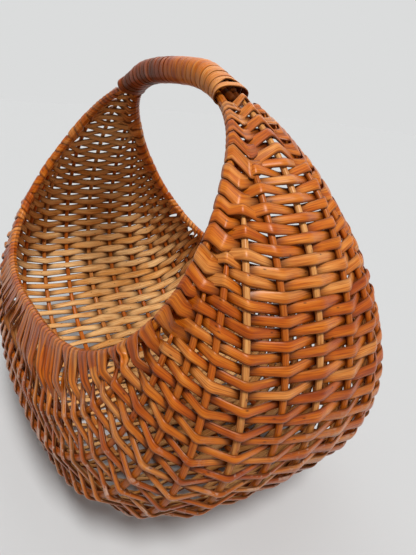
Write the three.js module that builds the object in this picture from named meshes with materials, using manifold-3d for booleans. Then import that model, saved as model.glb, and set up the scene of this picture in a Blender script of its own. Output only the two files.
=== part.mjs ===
// A round-bottomed frame basket of willow, in millimetres, +Z up.
// Two rim hoops run side by side in the handle and splay apart below it to form the mouth.
// Ribs run lengthwise from shoulder to shoulder under the bottom, and split-willow skeins
// weave across them from rim to rim, turning round each rim.
// The origin is on the ground under the middle, +X along the length of the basket.
import * as THREE from "three";
import { mergeVertices } from "three/addons/utils/BufferGeometryUtils.js";
import Module from "manifold-3d";

// Driving sizes of the basket's form, on the centre lines of its rods.
const crownHeight = 298; // top of the lengthwise middle line, before the bottom settles
const bellyReach = 176; // sideways scale of the middle line
const rimStep = 4.8; // the tops of the rims lie this far under the crown
const mouthHeight = 125.8; // low points of the rims, before the bottom settles
const rimReach = 133.5; // sideways scale of the rims
const mouthHalfWidth = 105; // half the width between the rims at their lowest
const settleHeight = 6; // how far the worn bottom has flattened
const groundCut = 0.5; // worn flat on the lowest crests
const rimTop = crownHeight - rimStep;
const rimDrop = rimTop - mouthHeight;

// Form of the lines, as plain exponents and shares.
const bellyShare = 0.156; // how much the middle line widens towards the bottom
const bellyRoundness = 0.862;
const rimBellyShare = 0.152;
const rimRoundness = 0.716;
const splayPower = 1.06;
const sectionPower = 2 / 3.09;
const bodyMiddleShare = 0.45; // height of the point that every outward side looks away from
const tuckAngle = 0.54; // how far the wall turns in under the rim, in radians

// Rods and skeins.
const hoopRadius = 2.5;
const hoopSpread = 2.9; // half the distance between the hoops in the handle
const hoopDip = 3.7; // the hoops lie this far under the handle's middle
const bowRadius = 4.4;
const bowRise = 3.5; // the bow lies this far above the handle's middle
const fillerRadius = 1.7;
const fillerSpread = 6.3;
const ribRadius = 1.8; // half the thickness of a rib
const ribFlatness = 1.4; // a rib is a little wider along the wall than it is thick
const ribFlatLength = 300; // it gets so over this length from its round tips
const ribTipRadius = 0.9;
const ribTipLength = 14;
const ribTopPitch = 20.5; // spacing of the ribs at the shoulder
const ribSway = 2.2; // the ribs lean this far to the far side below the right shoulder
const ribTipMargin = 10.5; // a rib starts where it has this much room to the rim
const skeinWidth = 6.2;
const rowFillShare = 0.88; // where rows lie closer, a skein fills this share of the row
const skeinThickness = 1.3;
const rimSkeinThickness = 0.9; // pulled thin where it turns round a rim
const rimSkeinWidth = 7.2;
const wrapSkeinThickness = 0.9;
const wrapSkeinWidth = 6;
const wrapGap = 0.5;
const bowEndRadius = 2.2;
const seatGap = 0.78; // between a skein and the rod under it
const turnGap = 0.4; // between a skein and the hoop that it turns round
const neighbourGap = 0.45; // between skeins side by side

// Counts.
const ribsEachSide = 6;
const strandsEachEnd = 16;
const rowsPerStrand = 4;
const wrapLoops = 24;

// Facets.
const ribSides = 6;
const hoopSides = 7;
const hoopSteps = 72;
const ribStep = 24;
const wrapSteps = 14;
const handleSteps = 14;

// Where things begin, as hoop angles from the top of the handle, in radians.
const weaveStartAngle = 0.49; // on the middle line
const rimWeaveStartAngle = 0.61; // on the rims
const wrapEndAngle = 0.55;
const hoopJoinAngle = 0.004;
const dipStartAngle = 0.35;
const dipEndAngle = 0.95;
const swayStartAngle = 0.85;
const swayEndAngle = 2;
const bowPareStartAngle = 0.2;
const bowEndAngle = 0.45;
const fillerEndAngle = 0.34;

// How the rows lie.
const middleEvenShare = 0.75; // the rest of the spacing opens out towards the bottom
const ribSpreadShare = 0.783; // the ribs cover this share of the wall under the bottom
const rowBow = 2.7; // how suddenly a row leaves the middle spacing for the rim's
const ribTipShare = 0.25; // a rib's tip reaches this far towards the row before its first
const innerTipShare = 0.72; // the ribs by the middle start with less room
const crossingTries = 16;
const heldRows = 2; // rows above a rib's tip that are held beside it
const leastSlackShare = 0.75;
const leastHeldShare = 0.3;

const rowCount = 2 * strandsEachEnd * rowsPerStrand;
const fullTurn = 2 * Math.PI;

const wasm = await Module();
wasm.setup();

// Small helpers.
const probeAngle = 0.004;
const probeShare = 0.01;
const bodyMiddle = new THREE.Vector3(0, 0, crownHeight * bodyMiddleShare);
const groundShares = 4; // the ground reaches well past the basket
const lerp = THREE.MathUtils.lerp;
const smoothstep = THREE.MathUtils.smoothstep;
const signedPower = (value, power) => Math.sign(value) * Math.abs(value) ** power;
const descent = (angle) => (1 - Math.cos(angle)) / 2;
const lift = ribRadius + seatGap + skeinThickness - groundCut;

// The bottom has settled flat: low points are squeezed, high points come down as they are.
function settle(height) {
  return Math.cbrt(height ** 3 + settleHeight ** 3) - settleHeight + lift;
}

// The lengthwise middle line and one rim, both before the bottom settles.
function middleLine(angle) {
  const spread = 1 - bellyShare * Math.cos(angle);
  const x = bellyReach * signedPower(Math.sin(angle), bellyRoundness) * spread;
  return new THREE.Vector3(x, 0, crownHeight * (1 - descent(angle)));
}

function rimLine(angle) {
  const spread = 1 - rimBellyShare * Math.cos(angle);
  const x = rimReach * signedPower(Math.sin(angle), rimRoundness) * spread;
  const y = Math.hypot(hoopSpread, mouthHalfWidth * descent(angle) ** splayPower);
  return new THREE.Vector3(x, y, rimTop - rimDrop * descent(angle));
}

// The wall's cross-section at one hoop angle, from the middle line to a rim: a superellipse
// whose ends tuck in under the rim. It comes back as points with their lengths along it.
const sectionSamples = 40;
const samplePower = 1.6; // the samples lie closer near the middle line, where it bends most
const sections = new Map();

function sectionAt(angle) {
  const key = angle.toFixed(6);
  if (sections.has(key)) return sections.get(key);
  const middle = middleLine(angle);
  const rim = rimLine(angle);
  const sideShare = Math.cos(tuckAngle) ** sectionPower;
  const tuckShare = Math.sin(tuckAngle) ** sectionPower;
  const points = [];
  const lengths = [0];
  for (let i = 0; i <= sectionSamples; i++) {
    const share = (i / sectionSamples) ** samplePower;
    const bend = Math.PI / 2 - share * (Math.PI / 2 + tuckAngle);
    const across = signedPower(Math.cos(bend), sectionPower) / sideShare;
    const rise = (signedPower(Math.sin(bend), sectionPower) + tuckShare) / (1 + tuckShare);
    const point = new THREE.Vector3(
      lerp(rim.x, middle.x, rise),
      rim.y * across,
      settle(lerp(rim.z, middle.z, rise)),
    );
    if (i > 0) lengths.push(lengths[i - 1] + point.distanceTo(points[i - 1]));
    points.push(point);
  }
  const section = { points, lengths, length: lengths[sectionSamples] };
  sections.set(key, section);
  return section;
}

// A point of the wall at a hoop angle and a share of the way from the middle (0) to the near
// rim (-1) or the far rim (1).
function wallPoint(angle, share) {
  const { points, lengths, length } = sectionAt(angle);
  const wanted = Math.min(Math.abs(share), 1) * length;
  let i = 1;
  while (i < sectionSamples && lengths[i] < wanted) i++;
  const between = (wanted - lengths[i - 1]) / (lengths[i] - lengths[i - 1]);
  const point = points[i - 1].clone().lerp(points[i], between);
  if (share < 0) point.y = -point.y;
  return point;
}

// A closed solid through rings of the same number of points, with flat ends.
function loft(rings) {
  const sides = rings[0].length;
  const positions = rings.flat().flatMap((point) => [point.x, point.y, point.z]);
  const index = [];
  for (let r = 0; r + 1 < rings.length; r++) {
    for (let s = 0; s < sides; s++) {
      const a = r * sides + s;
      const b = r * sides + ((s + 1) % sides);
      index.push(a, b, b + sides, a, b + sides, a + sides);
    }
  }
  const last = (rings.length - 1) * sides;
  for (let s = 1; s + 1 < sides; s++) {
    index.push(0, s + 1, s, last, last + s, last + s + 1);
  }
  const corner = (i) => new THREE.Vector3().fromArray(positions, 3 * index[i]);
  let volume = 0;
  for (let i = 0; i < index.length; i += 3) {
    volume += corner(i).dot(corner(i + 1).cross(corner(i + 2)));
  }
  if (volume < 0) index.reverse();
  const geometry = new THREE.BufferGeometry();
  geometry.setAttribute("position", new THREE.Float32BufferAttribute(positions, 3));
  geometry.setIndex(index);
  return geometry;
}

// A rod through points, with a radius for each point. It is round, or wider by its flatness
// along the sides given.
function rod(points, radiusAt, sides, flatnessAt = () => 1, sideAt = null) {
  const tangents = points.map((_, i) => {
    const before = points[Math.max(i - 1, 0)];
    const after = points[Math.min(i + 1, points.length - 1)];
    return after.clone().sub(before).normalize();
  });
  let side = new THREE.Vector3(0, 1, 0);
  const rings = points.map((point, i) => {
    if (sideAt) side = sideAt(i);
    side = side.clone().addScaledVector(tangents[i], -side.dot(tangents[i])).normalize();
    const top = tangents[i].clone().cross(side);
    const ring = [];
    for (let s = 0; s < sides; s++) {
      const turn = (s / sides) * fullTurn;
      const radius = radiusAt(i);
      ring.push(
        point.clone()
          .addScaledVector(side, radius * flatnessAt(i) * Math.cos(turn))
          .addScaledVector(top, radius * Math.sin(turn)),
      );
    }
    return ring;
  });
  return loft(rings);
}

// Materials: split and peeled willow, stained and varnished.
const willow = (colour, roughness) =>
  new THREE.MeshStandardMaterial({ color: colour, roughness, metalness: 0 });
const rimWillow = willow(0xb5652f, 0.4);
const ribWillow = willow(0x9a5528, 0.5);
const paleRibWillow = willow(0xdca362, 0.5);
const weaveWillow = willow(0xbf7136, 0.42);
const wrapWillow = willow(0xb86a34, 0.38);
const coreWillow = willow(0xc99a62, 0.7);

const basket = new THREE.Group();
basket.name = "basket";

// A geometry as a solid that can be cut.
function solidOf(geometry) {
  const bare = new THREE.BufferGeometry();
  bare.setAttribute("position", geometry.getAttribute("position"));
  bare.setIndex(geometry.getIndex());
  const merged = mergeVertices(bare);
  return new wasm.Manifold(new wasm.Mesh({
    numProp: 3,
    vertProperties: merged.getAttribute("position").array,
    triVerts: new Uint32Array(merged.getIndex().array),
  }));
}

// What reaches below the ground is worn off flat.
const groundBlock =
  new THREE.BoxGeometry(groundShares * bellyReach, groundShares * mouthHalfWidth, crownHeight);
groundBlock.translate(0, 0, -crownHeight / 2);
const ground = solidOf(groundBlock);

function wornFlat(geometry) {
  geometry.computeBoundingBox();
  if (geometry.boundingBox.min.z >= 0) return geometry;
  const left = solidOf(geometry).subtract(ground).getMesh();
  const worn = new THREE.BufferGeometry();
  worn.setAttribute("position", new THREE.Float32BufferAttribute(left.vertProperties, 3));
  worn.setIndex(Array.from(left.triVerts));
  return worn;
}

function addPiece(name, geometry, material) {
  const mesh = new THREE.Mesh(wornFlat(geometry), material);
  mesh.name = name;
  basket.add(mesh);
  return mesh;
}

// A line of points equally spaced by length, with the hoop angle of each. The line is given as
// a function of the angle.
const spacingSamples = 720;
function spacedLine(pointAt, start, end, steps) {
  const angles = [];
  const lengths = [0];
  let before = pointAt(start);
  for (let i = 0; i <= spacingSamples; i++) {
    const angle = lerp(start, end, i / spacingSamples);
    const point = pointAt(angle);
    if (i > 0) lengths.push(lengths[i - 1] + point.distanceTo(before));
    angles.push(angle);
    before = point;
  }
  const total = lengths[spacingSamples];
  const angleAtLength = (length) => {
    let i = 1;
    while (i < spacingSamples && lengths[i] < length) i++;
    const between = (length - lengths[i - 1]) / (lengths[i] - lengths[i - 1]);
    return lerp(angles[i - 1], angles[i], between);
  };
  const count = steps ?? Math.max(4, Math.round(total / ribStep));
  const turns = [];
  for (let i = 0; i <= count; i++) turns.push(angleAtLength((total * i) / count));
  return { turns, points: turns.map(pointAt), total, angleAtLength };
}

// A place on such a line at a hoop angle: the point on the straight facet there, and the run.
function placeOn(line, angle) {
  const { turns, points } = line;
  const last = turns.length - 1;
  let i = 1;
  while (i < last && turns[i] < angle) i++;
  const between = (angle - turns[i - 1]) / (turns[i] - turns[i - 1]);
  const runAt = (k) =>
    points[Math.min(k + 1, last)].clone().sub(points[Math.max(k - 1, 0)]).normalize();
  return {
    point: points[i - 1].clone().lerp(points[i], between),
    run: runAt(i - 1).lerp(runAt(i), between).normalize(),
  };
}

// The handle's middle line at a hoop angle, which is negative on the left, with its outward side.
function handleFrame(angle) {
  const centre = rimLine(angle).setY(0);
  const behind = rimLine(angle - probeAngle).setY(0);
  const ahead = rimLine(angle + probeAngle).setY(0).sub(behind).normalize();
  centre.z = settle(centre.z);
  return { centre, outward: new THREE.Vector3(-ahead.z, 0, ahead.x) };
}

const hoopDipAt = (angle) =>
  hoopDip * (1 - smoothstep(Math.abs(angle), dipStartAngle, dipEndAngle));

// Rim hoops: each is one rod, bent round, with its ends butted in the middle of the handle.
function hoopPoint(angle) {
  const fromTop = angle > Math.PI ? angle - fullTurn : angle;
  const { centre, outward } = handleFrame(fromTop);
  return centre.setY(rimLine(angle).y).addScaledVector(outward, -hoopDipAt(fromTop));
}

const mirrored = (point) => new THREE.Vector3(point.x, -point.y, point.z);
const farHoop = spacedLine(hoopPoint, hoopJoinAngle, fullTurn - hoopJoinAngle, hoopSteps);
const nearHoop = { ...farHoop, points: farHoop.points.map(mirrored) };
addPiece("rim_hoop_near", rod(nearHoop.points, () => hoopRadius, hoopSides), rimWillow);
addPiece("rim_hoop_far", rod(farHoop.points, () => hoopRadius, hoopSides), rimWillow);

// The handle's bow lies on the two hoops and runs out to the middle line at the shoulders,
// where its pared ends meet the middle rib.
const bowRadiusAt = (angle) =>
  lerp(bowRadius, bowEndRadius, smoothstep(Math.abs(angle), bowPareStartAngle, bowEndAngle));

function bowPoint(angle) {
  const { centre, outward } = handleFrame(angle);
  const shoulder = middleLine(angle);
  shoulder.z = settle(shoulder.z);
  return centre.addScaledVector(outward, bowRise)
    .lerp(shoulder, smoothstep(Math.abs(angle), bowPareStartAngle, weaveStartAngle));
}

function addHandleRod(name, pointAt, radiusAt, end) {
  const line = spacedLine(pointAt, -end, end, handleSteps);
  addPiece(name, rod(line.points, (i) => radiusAt(line.turns[i]), hoopSides), coreWillow);
}

addHandleRod("handle_bow", bowPoint, bowRadiusAt, bowEndAngle);

// Thin rods fill the hollows between the bow and the hoops.
for (const [name, side] of [["near", -1], ["far", 1]]) {
  const fillerPoint = (angle) => handleFrame(angle).centre.setY(side * fillerSpread);
  addHandleRod("handle_filler_" + name, fillerPoint, () => fillerRadius, fillerEndAngle);
}

// The wrap: one flat skein wound round the bundle. Its section is a superellipse that just
// clears the rods inside it, so it widens with them towards the shoulders.
const wrapPower = 2.4;
const rimSamples = 16;

function wrapSection(angle) {
  const bowOut = bowPoint(angle).sub(handleFrame(angle).centre).dot(handleFrame(angle).outward);
  const rods = [
    { y: rimLine(angle).y, out: -hoopDipAt(angle), radius: hoopRadius },
    { y: 0, out: bowOut, radius: bowRadiusAt(angle) },
    { y: fillerSpread, out: 0, radius: fillerRadius },
  ];
  const top = Math.max(...rods.map((r) => r.out + r.radius));
  const bottom = Math.min(...rods.map((r) => r.out - r.radius));
  const wide = Math.max(...rods.map((r) => r.y + r.radius));
  const middle = (top + bottom) / 2;
  const tall = (top - bottom) / 2;
  let reach = 0;
  for (const { y, out, radius } of rods) {
    for (let i = 0; i < rimSamples; i++) {
      const turn = (i / rimSamples) * fullTurn;
      const a = Math.abs(y + radius * Math.cos(turn)) / wide;
      const b = Math.abs(out + radius * Math.sin(turn) - middle) / tall;
      reach = Math.max(reach, (a ** wrapPower + b ** wrapPower) ** (1 / wrapPower));
    }
  }
  const facet = 1 / Math.cos(Math.PI / wrapSteps);
  return {
    middle,
    wide: (wide * reach + turnGap) * facet,
    tall: (tall * reach + turnGap) * facet,
  };
}

// A place on the wrap at a handle angle and a turn round the handle, a height above its inside.
function wrapPoint(angle, turn, height) {
  const { centre, outward } = handleFrame(angle);
  const { middle, wide, tall } = wrapSection(angle);
  const across = signedPower(Math.cos(turn), 2 / wrapPower);
  const rise = signedPower(Math.sin(turn), 2 / wrapPower);
  return centre
    .add(new THREE.Vector3(0, (wide + height) * across, 0))
    .addScaledVector(outward, middle + (tall + height) * rise);
}

const wrapLine =
  spacedLine((angle) => handleFrame(angle).centre, -wrapEndAngle, wrapEndAngle, handleSteps);
const wrapRings = wrapLoops * wrapSteps;
const wrapPlace = (i, height) => {
  const angle = wrapLine.angleAtLength((wrapLine.total * i) / wrapRings);
  return wrapPoint(angle, (i / wrapSteps) * fullTurn - Math.PI / 2, height);
};

const wrapInner = [];
const wrapOuter = [];
for (let i = -wrapSteps; i <= wrapRings + wrapSteps; i++) {
  wrapInner.push(wrapPlace(i, 0));
  wrapOuter.push(wrapPlace(i, wrapSkeinThickness));
}

const wrapSections = [];
let wrapLeastGap = Infinity;
for (let i = wrapSteps; i <= wrapRings + wrapSteps; i++) {
  const run = wrapInner[i + wrapSteps].clone().sub(wrapInner[i - wrapSteps]).normalize();
  const pitches = [wrapInner, wrapOuter].flatMap((line) => [
    line[i].distanceTo(line[i - wrapSteps]),
    line[i].distanceTo(line[i + wrapSteps]),
  ]);
  const pitch = Math.min(...pitches);
  const width = Math.min(wrapSkeinWidth, pitch - wrapGap);
  wrapLeastGap = Math.min(wrapLeastGap, pitch - width);
  wrapSections.push([
    wrapInner[i].clone().addScaledVector(run, -width / 2),
    wrapInner[i].clone().addScaledVector(run, width / 2),
    wrapOuter[i].clone().addScaledVector(run, width / 2),
    wrapOuter[i].clone().addScaledVector(run, -width / 2),
  ]);
}
// The two tails run straight on for one thickness of skein.
const tail = (from, to) =>
  to.map((point, s) =>
    point.clone().addScaledVector(point.clone().sub(from[s]).normalize(), wrapSkeinThickness));
wrapSections.unshift(tail(wrapSections[1], wrapSections[0]));
wrapSections.push(tail(wrapSections.at(-2), wrapSections.at(-1)));
addPiece("handle_wrap", loft(wrapSections), wrapWillow);
console.log("least gap between the loops of the handle wrap: " + wrapLeastGap.toFixed(2) + " mm");

// Rows of the weave. Each row has a hoop angle at the rims and one at the middle line.
const rimRun = spacedLine(hoopPoint, rimWeaveStartAngle, fullTurn - rimWeaveStartAngle, hoopSteps);
const middlePoint = (angle) => wallPoint(angle, 0);
const middleRun =
  spacedLine(middlePoint, weaveStartAngle, fullTurn - weaveStartAngle, hoopSteps);

function rowAt(row) {
  const share = (row + 0.5) / rowCount;
  const halfShare = Math.min(share, 1 - share) * 2;
  const middleShare = (middleEvenShare * halfShare + (1 - middleEvenShare) * halfShare ** 3) / 2;
  return {
    row,
    rimAngle: rimRun.angleAtLength(rimRun.total * share),
    middleAngle: middleRun.angleAtLength(
      middleRun.total * (share < 0.5 ? middleShare : 1 - middleShare),
    ),
  };
}
const rowAngle = (row, share) =>
  lerp(row.middleAngle, row.rimAngle, Math.min(Math.abs(share), 1) ** rowBow);

// Ribs. Rib 0 is the middle one, negative ribs are on the near side.
const ribBottomPitch = (ribSpreadShare * sectionAt(Math.PI).length) / ribsEachSide;
const ribPitch = (angle) => lerp(ribTopPitch, ribBottomPitch, descent(angle));
const ribSwayAt = (angle) => {
  const rise = smoothstep(angle, weaveStartAngle, swayStartAngle);
  return ribSway * rise * (1 - smoothstep(angle, swayStartAngle, swayEndAngle));
};
const ribShare = (rib, angle) =>
  (rib * ribPitch(angle) + ribSwayAt(angle)) / sectionAt(angle).length;

// The hoop angle at which a row crosses a rib, or would cross it above the rib's tip.
function crossingAngle(row, rib) {
  let angle = row.middleAngle;
  for (let i = 0; i < crossingTries; i++) angle = rowAngle(row, ribShare(rib, angle));
  return angle;
}

// A rib starts once there is room between it and the rim, a little above the row that crosses
// it first, clear of the row before.
const rows = [];
for (let row = -1; row <= rowCount; row++) rows.push(rowAt(row));
const rowOf = (row) => rows[row + 1];

function rimPlace(row, rim) {
  return placeOn(rim < 0 ? nearHoop : farHoop, row.rimAngle);
}

function firstRowOn(rib) {
  const outerShare = (Math.abs(rib) - 1) / (ribsEachSide - 1);
  const margin = ribTipMargin * lerp(innerTipShare, 1, outerShare);
  for (let row = 0; row < rowCount; row++) {
    const angle = crossingAngle(rowOf(row), rib);
    const crossing = wallPoint(angle, ribShare(Math.abs(rib), angle));
    const leg = rimPlace(rowOf(row), 1).point.sub(crossing);
    const { run } = rimPlace(rowOf(row), 1);
    const room = leg.addScaledVector(run, -leg.dot(run)).length();
    if (room >= margin || rib === 0) return row;
  }
  throw new Error("rib " + rib + " finds no room");
}

const ribs = new Map();
for (let rib = -ribsEachSide; rib <= ribsEachSide; rib++) {
  const firstRow = firstRowOn(rib);
  const first = crossingAngle(rowOf(firstRow), rib);
  const before = crossingAngle(rowOf(firstRow - 1), rib);
  const start = lerp(first, before, ribTipShare);
  const ribPoint = (angle) => wallPoint(angle, ribShare(rib, angle));
  const line = spacedLine(ribPoint, start, fullTurn - start);
  ribs.set(rib, { rib, firstRow, line });
  const ends = [line.points[0], line.points.at(-1)];
  const fromTip = (i) => Math.min(...ends.map((end) => end.distanceTo(line.points[i])));
  const radiusAt = (i) => lerp(ribTipRadius, ribRadius, Math.min(fromTip(i) / ribTipLength, 1));
  const flatnessAt = (i) => lerp(1, ribFlatness, Math.min(fromTip(i) / ribFlatLength, 1));
  const alongWall = (i) => {
    const angle = line.turns[i];
    const share = ribShare(rib, angle);
    return wallPoint(angle, share + probeShare).sub(wallPoint(angle, share - probeShare));
  };
  const side = rib < 0 ? "near_" + -rib : rib > 0 ? "far_" + rib : "middle";
  const pale = rib === 0 || rib === -2;
  const form = rod(line.points, radiusAt, ribSides, flatnessAt, alongWall);
  addPiece("rib_" + side, form, pale ? paleRibWillow : ribWillow);
}

const crosses = (row, rib) => {
  const { firstRow } = ribs.get(rib);
  return row.row >= firstRow && row.row <= rowCount - 1 - firstRow;
};
const lastRib = (row, rim) => {
  let rib = 0;
  while (Math.abs(rib) < ribsEachSide && crosses(row, rib + rim)) rib += rim;
  return rib;
};

// Which side of a rib a row passes: 1 outside, -1 inside. Rows and ribs take turns.
const sideOf = (row, rib) => ((row.row + rib) % 2 === 0 ? 1 : -1);

// One section of a strand: a flat base across the run and a ridge over its middle.
function strandSection(base, ridge, run, widthBefore, widthAfter) {
  return [
    base.clone().addScaledVector(run, -widthBefore),
    base.clone().addScaledVector(run, widthAfter),
    ridge.clone().addScaledVector(run, (widthAfter - widthBefore) / 2),
  ];
}

// The outward side of a path that goes one way while the rod that it crosses runs another.
function outwardOf(way, run, point) {
  const outward = run.clone().cross(way).normalize();
  return outward.dot(point.clone().sub(bodyMiddle)) < 0 ? outward.negate() : outward;
}

// Where a row's middle line passes a rib, or would pass it beyond the last rib.
function passing(row, rib) {
  const angle = crossingAngle(row, rib);
  const share = ribShare(rib, angle);
  const { line } = ribs.get(rib);
  if (crosses(row, rib)) return { angle, share, ...placeOn(line, angle) };
  const run = wallPoint(angle + probeAngle, share).sub(wallPoint(angle - probeAngle, share));
  return { angle, share, point: wallPoint(angle, share), run: run.normalize() };
}

// A leg from the last rib to the rim is held to the wall by one more section where it is long,
// or where the next rib starts just below it.
function legRib(row, rim) {
  const last = lastRib(row, rim);
  if (Math.abs(last) === ribsEachSide) return null;
  const rib = last + rim;
  const room = (1 - Math.abs(passing(row, rib).share)) * sectionAt(row.middleAngle).length;
  const { firstRow } = ribs.get(rib);
  const lastRow = rowCount - 1 - firstRow;
  const above = Math.min(Math.abs(firstRow - row.row), Math.abs(lastRow - row.row));
  return room > leastHeldShare * ribTipMargin && above <= heldRows ? rib : null;
}

// Where a row passes a rib, or is held between the last rib and the rim.
function ribSection(row, rib, ridgeSide) {
  const here = passing(row, rib);
  const held = !crosses(row, rib);
  const neighbour = (step) => {
    const other = rib + step;
    const rim = Math.sign(step);
    const isRim = Math.abs(other) > ribsEachSide || (held && other * rim > 0 && rib * rim > 0)
      || (!crosses(row, other) && legRib(row, rim) !== other);
    return isRim ? rimPlace(row, rim).point : passing(row, other).point;
  };
  const ahead = neighbour(1).sub(here.point).normalize();
  const behind = here.point.clone().sub(neighbour(-1)).normalize();
  const way = ahead.clone().add(behind).normalize();
  const outward = outwardOf(way, here.run, here.point);
  const side = sideOf(row, rib);
  const slack = 1 / Math.max(leastSlackShare, way.dot(ahead));
  const seat = held ? -ridgeSide * skeinThickness / 2 : side * (ribRadius + seatGap) * slack;
  const far = held ? -seat : seat + side * skeinThickness;
  const [base, ridge] = held || side === ridgeSide ? [seat, far] : [far, seat];
  const halfWidth = (step) => {
    const pitch = here.point.distanceTo(passing(rowOf(row.row + step), rib).point);
    return Math.min(skeinWidth, pitch * rowFillShare, pitch - neighbourGap) / 2;
  };
  return strandSection(
    here.point.clone().addScaledVector(outward, base),
    here.point.clone().addScaledVector(outward, ridge),
    here.run,
    halfWidth(-1),
    halfWidth(1),
  );
}

// Where a strand turns round a rim, from one row to the next. The turn runs from 0 to half a
// circle, from the side of the rim on which the first row arrives.
const turnStops = [0, Math.PI / 3, (2 * Math.PI) / 3, Math.PI];
const turnFacet = 1 / Math.cos(turnStops[1] / 2);

function turnSection(first, rim, turn, firstSide, ridgeSide) {
  const hoop = rim < 0 ? nearHoop : farHoop;
  const next = rowOf(first.row + 1);
  const angle = lerp(first.rimAngle, next.rimAngle, turn / Math.PI);
  const { point, run } = placeOn(hoop, angle);
  const legs =
    [first, next].map((row) => passing(row, legRib(row, rim) ?? lastRib(row, rim)).point);
  const away = point.clone().sub(legs[0].lerp(legs[1], 0.5));
  away.addScaledVector(run, -away.dot(run)).normalize();
  const outward = outwardOf(away, run, point);
  const spoke = outward.clone().multiplyScalar(firstSide * Math.cos(turn))
    .addScaledVector(away, Math.sin(turn));
  const inner = (hoopRadius + turnGap) * turnFacet;
  const outer = inner + rimSkeinThickness;
  const ridgeOut = ridgeSide * firstSide > 0;
  const pitch = rimRun.total / rowCount;
  const atEnds = Math.min(skeinWidth, pitch - neighbourGap);
  const atEdge = Math.min(rimSkeinWidth, 2 * pitch - 3 * neighbourGap);
  const width = lerp(atEnds, atEdge, Math.min(1, Math.sin(turn) / Math.sin(turnStops[1])));
  return strandSection(
    point.clone().addScaledVector(spoke, ridgeOut ? inner : outer),
    point.clone().addScaledVector(spoke, ridgeOut ? outer : inner),
    run,
    width / 2,
    width / 2,
  );
}

// A strand: its rows one after another, with a turn round a rim between them.
const endTurnAngle = Math.PI / 2 - turnGap / hoopRadius;

function addStrand(strand) {
  const sectionsOfStrand = [];
  const firstRow = strand * rowsPerStrand;
  let ridgeSide = 1;
  const turnRings = (row, rim, from, to) => {
    const firstSide = -sideOf(row, lastRib(row, rim));
    const stops = [from, ...turnStops.filter((stop) => stop > from && stop < to), to];
    const startRidge = from > 0 ? -ridgeSide : ridgeSide;
    for (const stop of stops) {
      sectionsOfStrand.push(turnSection(row, rim, stop, firstSide, startRidge));
    }
  };
  turnRings(rowOf(firstRow - 1), -1, Math.PI - endTurnAngle, Math.PI);
  for (let i = 0; i < rowsPerStrand; i++) {
    const row = rowOf(firstRow + i);
    const rim = i % 2 === 0 ? 1 : -1;
    const from = legRib(row, -rim) ?? lastRib(row, -rim);
    const to = legRib(row, rim) ?? lastRib(row, rim);
    for (let rib = from; rib * rim <= to * rim; rib += rim) {
      sectionsOfStrand.push(ribSection(row, rib, ridgeSide));
    }
    const last = i === rowsPerStrand - 1;
    turnRings(row, rim, 0, last ? endTurnAngle : Math.PI);
    ridgeSide = -ridgeSide;
  }
  const name = "weaver_" + String(strand + 1).padStart(2, "0");
  addPiece(name, loft(sectionsOfStrand), weaveWillow);
}

for (let strand = 0; strand < 2 * strandsEachEnd; strand++) addStrand(strand);

export default basket;
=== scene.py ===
"""A willow frame basket with a wrapped handle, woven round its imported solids."""

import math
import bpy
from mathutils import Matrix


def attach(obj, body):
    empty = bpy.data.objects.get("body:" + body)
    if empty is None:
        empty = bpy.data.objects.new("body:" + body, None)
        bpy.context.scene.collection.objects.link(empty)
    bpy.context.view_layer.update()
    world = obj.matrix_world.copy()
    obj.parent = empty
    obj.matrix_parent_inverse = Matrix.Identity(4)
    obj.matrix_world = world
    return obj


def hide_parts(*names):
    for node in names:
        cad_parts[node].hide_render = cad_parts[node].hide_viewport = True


bl_info = {
    "name": "Willow Frame Basket",
    "version": (1, 0, 0),
    "blender": (4, 5, 0),
    "location": "3D View > Sidebar > Basket",
    "description": "Weaves a round-bottomed willow basket on two rim hoops that join in a handle",
    "category": "Add Mesh",
}

import bmesh
import bpy
import numpy as np
from bpy.props import FloatProperty, FloatVectorProperty, IntProperty, PointerProperty
from mathutils import Euler, Vector

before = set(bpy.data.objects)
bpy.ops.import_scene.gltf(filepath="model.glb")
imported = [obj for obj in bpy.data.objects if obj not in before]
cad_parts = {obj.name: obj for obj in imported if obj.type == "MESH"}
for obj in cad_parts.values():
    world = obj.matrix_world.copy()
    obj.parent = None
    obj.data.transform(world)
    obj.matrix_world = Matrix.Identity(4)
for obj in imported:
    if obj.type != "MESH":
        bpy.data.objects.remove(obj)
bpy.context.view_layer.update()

MM = 0.001
FULL_TURN = 2 * math.pi

# Form of the lines, as plain exponents and shares.
BELLY_SHARE = 0.156
BELLY_ROUNDNESS = 0.862
RIM_BELLY_SHARE = 0.152
RIM_ROUNDNESS = 0.716
SPLAY_POWER = 1.06
SECTION_POWER = 2 / 3.09
TUCK_ANGLE = 0.54
SAMPLE_POWER = 1.6
BODY_MIDDLE_SHARE = 0.45
WRAP_POWER = 2.4

# How finely lines are followed.
SECTION_SAMPLES = 121
LINE_SAMPLES = 1441
HOOP_SAMPLES = 340
BOW_SAMPLES = 120
FILLER_SAMPLES = 90
LOOP_SAMPLES = 44
BUNDLE_SAMPLES = 161
ROD_OUTLINE_SAMPLES = 24
RIB_LEAST_SAMPLES = 80
RIB_STEP = 2.6 * MM
PROBE_ANGLE = 0.004
PROBE_SHARE = 0.01

# Where things begin, as hoop angles from the top of the handle.
WEAVE_START = 0.49
RIM_WEAVE_START = 0.61
WRAP_END = 0.55
DIP_START = 0.35
DIP_END = 0.95
SWAY_START = 0.85
SWAY_END = 2
BOW_PARE_START = 0.2
BOW_END = 0.45
FILLER_END = 0.34
FILLER_TUCK = 0.6
FILLER_CLOSING = (FILLER_END - 0.06, WRAP_END - 0.08)
HOOP_JOIN = 0.004

# How the rows lie.
MIDDLE_EVEN_SHARE = 0.75
ROW_BOW = 2.7
RIB_TIP_SHARE = 0.25
RIB_SPREAD_SHARE = 0.783
INNER_TIP_SHARE = 0.72
LEAST_SLACK_SHARE = 0.75
CROSSING_TRIES = 16
NEIGHBOUR_ROWS = 3

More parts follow.
